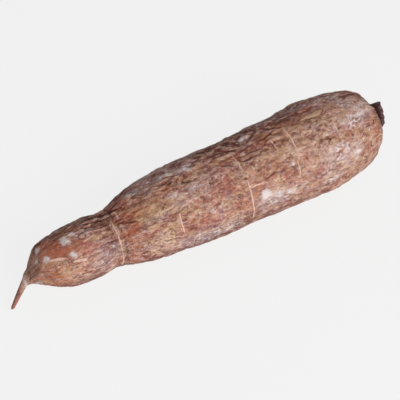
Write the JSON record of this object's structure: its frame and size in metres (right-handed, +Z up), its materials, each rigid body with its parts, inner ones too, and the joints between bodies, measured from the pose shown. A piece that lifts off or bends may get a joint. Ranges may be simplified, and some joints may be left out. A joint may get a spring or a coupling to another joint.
{
  "type": "cassava root",
  "caption": "Whole unpeeled cassava root lying on its side: tapered rough brown body, pinched waist, small tail lobe with a thin rootlet, and a cut neck.",
  "frame": {"origin": "on the surface that the root lies on, under the middle of its bounding box", "axes": "+X along the root towards its cut neck, +Z up, +Y to the left when looking along +X"},
  "size_m": [0.298, 0.068, 0.0667],
  "materials": {
    "cassava_bark": "dry, rough papery bark in tan, reddish and greyish browns, wrinkled along the root, with pinkish ring scars and pale scuffs; matt, roughness about 0.8"
  },
  "bodies": {
    "root": {"cassava_root": "cassava_bark"}
  },
  "joints": []
}
